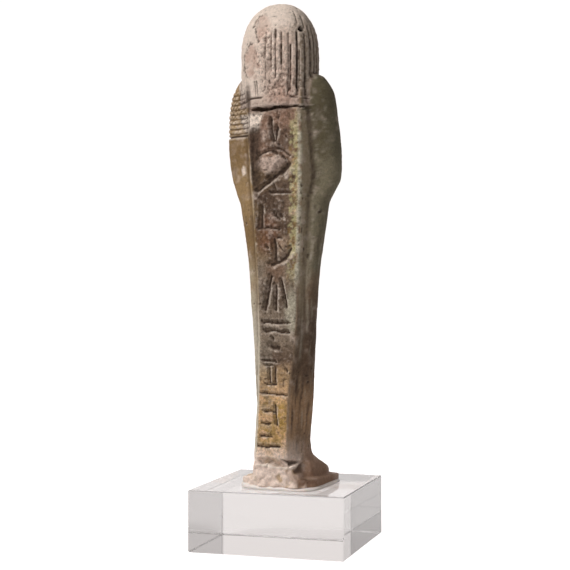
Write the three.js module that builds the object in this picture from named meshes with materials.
// A mummy-shaped ushabti figurine on its clear display block, in millimetres, +Z up.
// The figurine faces -Y and its inscribed back pillar faces +Y; the block's underside is z = 0.
import * as THREE from "three";

// The block and the bed of adhesive that holds the figurine on it
const blockSide = 79;
const blockHeight = 30.5;
const blockChamfer = 0.5;
const bedThickness = 1.6;
const bedMargin = 2.2; // how far the adhesive reaches past the foot of the figurine

// Where the figurine stands on the block
const figureX = -2.5;
const figureY = 13.9;
const figureTurn = -4.9; // degrees about Z

// The figurine, measured from its own underside on its own axis
const figureHeight = 238.2;
const rayLevel = 212; // above this height the surface is swept over the crown
const frontSpan = 140; // degrees around the front that carry the finer columns
const farReach = 44; // farther than any point of the surface from the axis
const hemLevel = 186.4;
const shoulderLevel = 203.5;
const shoulderDrop = 0.07; // the left shoulder falls away a little more

// Half widths at the sole, ankle, shin, knee, thigh, hip, waist, elbow, arm and shoulder
const bodyHalfWidth = curve([
  [0, 13.5], [22, 13], [46, 14.5], [78, 16], [110, 18.5], [130, 21.5], [139, 23], [146, 26],
  [152, 28.5], [164, 29.5], [182, 28.5], [192, 27], [198, 24], [202, 20.5], [205, 10],
]);
// The carving is a little askew: its middle line wanders to one side and back
const bodyLean = curve([
  [0, 1.5], [15, 1], [45, 0], [78, -1], [110, -1], [140, -0.5], [165, 0.5], [182, 1],
  [198, 0.5], [205, 0.5],
]);
const bodyMiddle = curve([
  [0, -1], [30, -1], [60, 2.2], [94, 4.2], [120, 3.5], [140, 2.5], [152, -0.8], [205, 2],
]);
const bodyBack = curve([
  [0, 12], [30, 10.5], [66, 8.6], [100, 8], [140, 8.5], [166, 10], [190, 11], [205, 10],
]);
const bodyFront = curve([
  [0, 10.5], [24, 10.5], [50, 12], [80, 13], [120, 14.5], [160, 15], [180, 14], [205, 8],
]);
const bodyRoundness = 2.35;

const pillarHalfWidth = curve([
  [0, 9.4], [13, 8.7], [28, 8.1], [43, 8], [57, 8.7], [77, 9.9], [99, 10.8], [138, 12.8], [158, 13.8],
  [184, 14.5],
]);
const pillarLean = curve([
  [0, 1.6], [14, 1.6], [43, 0.7], [77, -1.4], [99, -1.6], [138, -1.1], [186, 0.5], [205, 0.9],
]);
const pillarBack = curve([[0, 14.4], [14, 14.2], [99, 13.8], [140, 14], [184, 14.2], [205, 14.2]]);
const pillarFlare = 0.48; // sideways run of the pillar's flanks for each millimetre of depth
const pillarDepth = 9;

const wigHalfWidth = 19.4;
const wigFront = 12.4;
const wigMiddle = 1.6;
const wigLean = 1.6;
const wigBack = curve([[180, 14.2], [188, 14.6], [205, 16.4], [238, 16.4]]);
const crownStart = 211;
const wigRoundness = 2.35;
const crownRoundness = 2.28;
const lappet = { middle: 10.6, halfWidth: 5.2, bottom: 180.5, thickness: 2.2 };

const arms = {
  shoulder: [19.2, -5.5, 191], elbow: [21.4, -8.8, 159.5], upperArm: 5,
  middle: [10, -13, 163.6], wrist: [-5, -14, 169], forearm: 3.9,
  fist: [-9, -15, 173], fistRadii: [3.9, 3.8, 4.4],
  lift: 1.2, // the right forearm lies over the left one
};

const footHalfWidth = curve([[0, 15.4], [6, 15.2], [9, 15.2], [12, 14.3], [18, 12.4]]);
const footFront = curve([[0, 29], [5, 29], [6.5, 27.2], [9, 19.6], [12, 13], [16, 8.4], [20, 8]]);
const footLean = curve([[0, -0.8], [9, -0.5], [14, 1]]);
const footMiddle = -2;
const footBack = 7;
const footTop = 20;
const plinth = {
  middle: -0.3, halfWidth: 18.7, front: 30, back: 13.6, roundness: 11,
  topFront: 2.6, topBack: 4.6, wornCorner: 18.7,
};
const heel = { height: 11.3, back: 15, left: 10.8, right: 9.6, flare: 0.42 };

// Smooth curve through [place, value] points, with no overshoot between them
function curve(points) {
  const steps = points.slice(1).map(([at, value], i) => (value - points[i][1]) / (at - points[i][0]));
  const slopes = points.map((point, i) => {
    const before = steps[i - 1] ?? steps[i];
    const after = steps[i] ?? steps[i - 1];
    return before * after > 0 ? (2 * before * after) / (before + after) : 0;
  });
  return (place) => {
    const at = Math.min(Math.max(place, points[0][0]), points[points.length - 1][0]);
    const i = Math.max(0, points.findIndex((point, k) => k > 0 && at <= point[0]) - 1);
    const width = points[i + 1][0] - points[i][0];
    const t = (at - points[i][0]) / width;
    return points[i][1] * (2 * t ** 3 - 3 * t ** 2 + 1) + slopes[i] * width * (t ** 3 - 2 * t ** 2 + t)
      + points[i + 1][1] * (3 * t ** 2 - 2 * t ** 3) + slopes[i + 1] * width * (t ** 3 - t ** 2);
  };
}

// Distances are negative inside. join and meet are a union and an intersection with a soft edge.
function join(a, b, soft) {
  const h = Math.min(Math.max(0.5 + (b - a) / (2 * soft), 0), 1);
  return b * (1 - h) + a * h - soft * h * (1 - h);
}

function meet(a, b, soft) {
  return -join(-a, -b, soft);
}

// Rounded length of two shares: (|a|^n + |b|^n)^(1/n)
function blend(a, b, power) {
  return (Math.abs(a) ** power + Math.abs(b) ** power) ** (1 / power);
}

// Rounded oval: |x/a|^n + |y/b|^n = 1, read as a rough distance
function oval(x, y, a, b, power) {
  return (blend(x / a, y / b, power) - 1) * Math.min(a, b);
}

// Rod with round ends from one point to the other
function rod([x, y, z], from, to, radius) {
  const along = [to[0] - from[0], to[1] - from[1], to[2] - from[2]];
  const away = [x - from[0], y - from[1], z - from[2]];
  const length = along[0] ** 2 + along[1] ** 2 + along[2] ** 2;
  const t = Math.min(Math.max((along[0] * away[0] + along[1] * away[1] + along[2] * away[2]) / length, 0), 1);
  return Math.hypot(away[0] - along[0] * t, away[1] - along[1] * t, away[2] - along[2] * t) - radius;
}

function egg(point, centre, radii) {
  const reach = Math.hypot(...point.map((value, k) => (value - centre[k]) / radii[k]));
  return (reach - 1) * Math.min(...radii);
}

// Wrapped body: an oval at each height, deeper in front than behind
function body(x, y, z) {
  const depth = y - bodyMiddle(z);
  const reach = depth > 0 ? bodyBack(z) : bodyFront(z);
  const side = oval(x - bodyLean(z), depth, bodyHalfWidth(z), reach, bodyRoundness);
  return meet(side, z - shoulderLevel + shoulderDrop * Math.max(x, 0), 2);
}

// Back pillar: a flat slab whose flanks slope outwards into the body
function pillar(x, y, z) {
  const back = pillarBack(z);
  const flank = (Math.abs(x - pillarLean(z)) - pillarHalfWidth(z) - (back - y) * pillarFlare)
    / Math.hypot(1, pillarFlare);
  return Math.max(meet(meet(flank, y - back, 0.6), back - pillarDepth - y, 0.5), z - hemLevel - 8);
}

// Headcloth: an oval drum that closes over the crown and ends below in the hem
function wig(x, y, z) {
  const depth = y - wigMiddle;
  const side = blend((x - wigLean) / wigHalfWidth, depth / (depth > 0 ? wigBack(z) : wigFront), wigRoundness);
  const rise = Math.max(0, (z - crownStart) / (figureHeight - crownStart));
  return Math.max((blend(side, rise, crownRoundness) - 1) * wigFront, hemLevel - z);
}

// Face, ears and beard, calm and regular, on thirds of the head's height
function face([x, y, z]) {
  const point = [Math.abs(x - wigLean), y, z];
  const skull = egg(point, [0, -4.5, 211.5], [11.2, 11, 13.5]);
  const brow = join(skull, rod(point, [1.8, -14.1, 217.9], [8, -10.9, 217], 0.8), 0.9);
  const nose = join(brow, rod(point, [0, -14.4, 217.5], [0, -16.3, 210.4], 1.1), 1);
  const nostril = join(nose, egg(point, [1, -15.6, 209.7], [1.6, 1.5, 1.1]), 0.5);
  const eye = join(nostril, egg(point, [4.5, -13.3, 214], [2.8, 1.4, 1.25]), 0.3);
  const upperLip = join(eye, egg(point, [0, -14, 205.5], [3.4, 1.5, 0.9]), 0.3);
  const lowerLip = join(upperLip, egg(point, [0, -13.6, 203.7], [2.9, 1.6, 0.9]), 0.3);
  const chin = join(lowerLip, egg(point, [0, -11.4, 200.2], [4, 3, 2.6]), 1.2);
  const ear = join(chin, egg(point, [12.7, -8.4, 211.4], [1.9, 2.6, 4.3]), 0.5);
  return join(ear, rod(point, [0, -12.4, 199], [0, -14.6, 184.5], 2.1), 0.5);
}

// Lappets of the headcloth, then an arm on each side, crossed under the wrapping, with its fist
function chest([x, y, z], bodyDistance) {
  const across = x - bodyLean(z);
  const band = meet(Math.abs(Math.abs(across) - lappet.middle) - lappet.halfWidth, lappet.bottom - z, 0.8);
  let shape = meet(bodyDistance - lappet.thickness, Math.max(band, y), 1);
  for (const [side, lift] of [[1, 0], [-1, arms.lift]]) {
    const point = [across * side, y, z];
    const lifted = [across * side, y + lift, z];
    shape = join(shape, rod(point, arms.shoulder, arms.elbow, arms.upperArm), 1);
    shape = join(shape, rod(point, arms.elbow, arms.middle, arms.forearm), 1);
    shape = join(shape, rod(lifted, arms.middle, arms.wrist, arms.forearm), 1);
    shape = join(shape, egg(lifted, arms.fist, arms.fistRadii), 0.6);
  }
  return shape;
}

// Feet under the wrapping, the thin plinth with one worn corner, and the rough heel behind it
function base(x, y, z) {
  const depth = y - footMiddle;
  const sole = oval(x - footLean(z), depth, footHalfWidth(z), depth > 0 ? footBack : footFront(z), 4);
  const foot = meet(sole, z - footTop, 2);
  const middle = (plinth.back - plinth.front) / 2;
  const halfLength = (plinth.back + plinth.front) / 2;
  const slab = oval(x - plinth.middle, y - middle, plinth.halfWidth, halfLength, plinth.roundness);
  const share = (y + plinth.front) / (2 * halfLength);
  const top = plinth.topFront + (plinth.topBack - plinth.topFront) * share;
  const corner = (y - x) * Math.SQRT1_2 - plinth.wornCorner;
  const board = Math.max(meet(slab, z - top, 0.8), corner);
  const slope = (heel.height - z) * heel.flare;
  const sides = Math.max(x - heel.left, -x - heel.right) - slope;
  const lump = meet(meet(sides, y - heel.back, 1.2), meet(z - heel.height, 2 - y, 1.5), 1);
  return join(join(foot, board, 0.5), lump, 0.8);
}

function figure(x, y, z) {
  const point = [x, y, z];
  const wrapped = body(x, y, z);
  let shape = join(wrapped, pillar(x, y, z), 0.9);
  if (z < 24) shape = join(shape, base(x, y, z), 1.5);
  if (z > 145) shape = join(shape, chest(point, wrapped), 1.4);
  if (z > 175) shape = join(shape, Math.min(wig(x, y, z), 40), 0.8);
  if (z > 180) shape = join(shape, face(point), 0.7);
  return shape;
}

// The point where a ray from the axis leaves the figure, found by stepping in from outside
function surfacePoint(height, turn, lift) {
  const way = [Math.cos(turn) * Math.cos(lift), Math.sin(turn) * Math.cos(lift), Math.sin(lift)];
  const start = [bodyLean(height), 0, height];
  const pointAt = (reach) => start.map((value, k) => value + way[k] * reach);
  let reach = farReach;
  let gap = figure(...pointAt(reach));
  for (let i = 0; i < 90 && Math.abs(gap) > 0.005; i += 1) {
    reach -= 0.6 * gap;
    gap = figure(...pointAt(reach));
  }
  return pointAt(reach);
}

// Closed skin from rings of points that all have the same number of points, with a point at each end
function skin(rings, first, last) {
  const count = rings[0].length;
  const points = [first, ...rings.flat(), last];
  const faces = [];
  for (let j = 0; j < count; j += 1) {
    const next = (j + 1) % count;
    faces.push(0, 1 + next, 1 + j);
    for (let i = 0; i + 1 < rings.length; i += 1) {
      const low = 1 + i * count;
      const high = low + count;
      faces.push(low + j, low + next, high + next, low + j, high + next, high + j);
    }
    const top = 1 + (rings.length - 1) * count;
    faces.push(top + j, top + next, points.length - 1);
  }
  const geometry = new THREE.BufferGeometry();
  geometry.setAttribute("position", new THREE.Float32BufferAttribute(points.flat(), 3));
  geometry.setIndex(faces);
  geometry.computeVertexNormals();
  return geometry;
}

// Columns stand closer together in front, where the relief is, and each edge of the pillar carries one
function columnTurns(height) {
  const corner = Math.atan2(pillarBack(height), pillarHalfWidth(height) - 0.2);
  const front = THREE.MathUtils.degToRad(frontSpan);
  const right = (3 * Math.PI - front) / 2;
  const left = (3 * Math.PI + front) / 2;
  const spans = [
    [corner, Math.PI - corner, 10],
    [Math.PI - corner, right, 14],
    [right, left, 38],
    [left, 2 * Math.PI + corner, 14],
  ];
  return spans.flatMap(([from, to, steps]) =>
    Array.from({ length: steps }, (_, k) => from + ((to - from) * k) / steps));
}

function figurineShape() {
  const levels = [
    0, 2.2, 3.4, 4.6, 5.8, 7.2, 8.8, 10.6, 11.8, 14, 17.5, 22, 28, 35, 43, 52, 61, 70, 79, 88, 97, 106,
    115, 123, 130, 136, 141, 145.5, 149.5, 153.5, 157.5, 161.5, 165.5, 169.5, 173, 176.5, 180, 183.5,
    186.1, 186.7, 190, 192.5, 195, 197.5, 200, 202, 204, 206, 208, 210,
  ];
  const lifts = [0, 7, 15, 24, 34, 45, 57, 70, 81].map(THREE.MathUtils.degToRad);
  const rings = levels.map((z) => columnTurns(z).map((turn) => surfacePoint(z, turn, 0)));
  for (const lift of lifts) {
    rings.push(columnTurns(rayLevel).map((turn) => surfacePoint(rayLevel, turn, lift)));
  }
  return skin(rings, [0, 0, 0], surfacePoint(rayLevel, 0, Math.PI / 2));
}

// Adhesive: the outline of the plinth, rounded and a little larger
function bedShape() {
  const outline = new THREE.Shape();
  const steps = 48;
  for (let k = 0; k < steps; k += 1) {
    const turn = (2 * Math.PI * k) / steps;
    const round = (value) => Math.sign(value) * Math.abs(value) ** 0.42;
    const x = plinth.middle + (plinth.halfWidth + bedMargin) * round(Math.cos(turn));
    const y = ((plinth.front + plinth.back) / 2 + bedMargin) * round(Math.sin(turn))
      + (plinth.back - plinth.front) / 2;
    if (k === 0) outline.moveTo(x, y);
    else outline.lineTo(x, y);
  }
  return new THREE.ExtrudeGeometry(outline, { depth: bedThickness, bevelEnabled: false });
}

// Block: a square slab whose twelve edges are lightly chamfered
function blockShape() {
  const half = blockSide / 2;
  const cut = half - blockChamfer;
  const outline = new THREE.Shape();
  outline.moveTo(cut, -half);
  [[half, -cut], [half, cut], [cut, half], [-cut, half], [-half, cut], [-half, -cut], [-cut, -half]]
    .forEach(([x, y]) => outline.lineTo(x, y));
  const geometry = new THREE.ExtrudeGeometry(outline, {
    depth: blockHeight - 2 * blockChamfer,
    bevelEnabled: true,
    bevelSegments: 1,
    bevelThickness: blockChamfer,
    bevelSize: blockChamfer,
    bevelOffset: -blockChamfer,
  });
  return geometry.translate(0, 0, blockChamfer);
}

function piece(name, geometry, look) {
  const mesh = new THREE.Mesh(geometry, new THREE.MeshStandardMaterial(look));
  mesh.name = name;
  return mesh;
}

const block = piece("acrylic_block", blockShape(), {
  color: "#eef2f2", roughness: 0.04, metalness: 0, transparent: true, opacity: 0.35,
});
const bed = piece("adhesive_bed", bedShape(), { color: "#ded6cf", roughness: 0.5, metalness: 0 });
const figurine = piece("figurine", figurineShape(), { color: "#a5917c", roughness: 0.85, metalness: 0 });

const standing = new THREE.Group();
standing.position.set(figureX, figureY, blockHeight);
standing.rotation.z = THREE.MathUtils.degToRad(figureTurn);
figurine.position.z = bedThickness;
standing.add(bed, figurine);

const model = new THREE.Group();
model.add(block, standing);

export default model;
